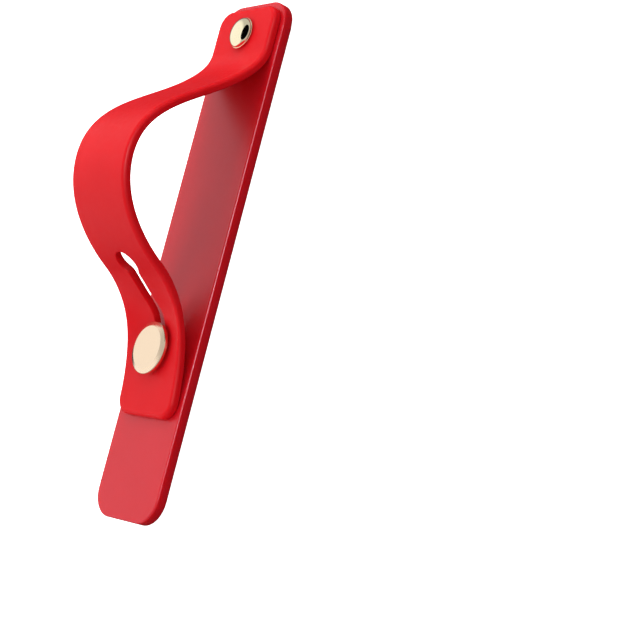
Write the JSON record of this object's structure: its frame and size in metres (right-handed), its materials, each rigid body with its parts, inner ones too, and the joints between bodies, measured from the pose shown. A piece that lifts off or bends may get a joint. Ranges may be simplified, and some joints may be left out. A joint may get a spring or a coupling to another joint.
{
  "type": "phone finger strap",
  "caption": "Silicone finger strap for the back of a phone: a flat base strip with a band riveted near one end, arched over the finger and buttoned on a flat stud through its slot.",
  "frame": {"origin": "centre of the outline, on the adhesive back that sticks to the phone", "axes": "+Y along the strip towards the riveted end, +X across the strip, +Z out of the phone"},
  "size_m": [0.0244, 0.125, 0.0329],
  "materials": {
    "base_silicone": "matt, faintly dusty silicone, with a smooth moulded edge",
    "strap_silicone": "smooth satin silicone",
    "adhesive": "matt acrylic adhesive sheet",
    "polished_gold": "mirror polished pale gold plate",
    "satin_gold": "satin pale gold plate with a bright rim",
    "plain_gold": "plain pressed gold plate"
  },
  "bodies": {
    "root": {"base_strip": "base_silicone", "adhesive_pad": "adhesive", "finger_strap": "strap_silicone", "rivet_cap": "polished_gold", "rivet_foot": "plain_gold", "stud_button": "satin_gold", "stud_foot": "plain_gold"}
  },
  "joints": []
}
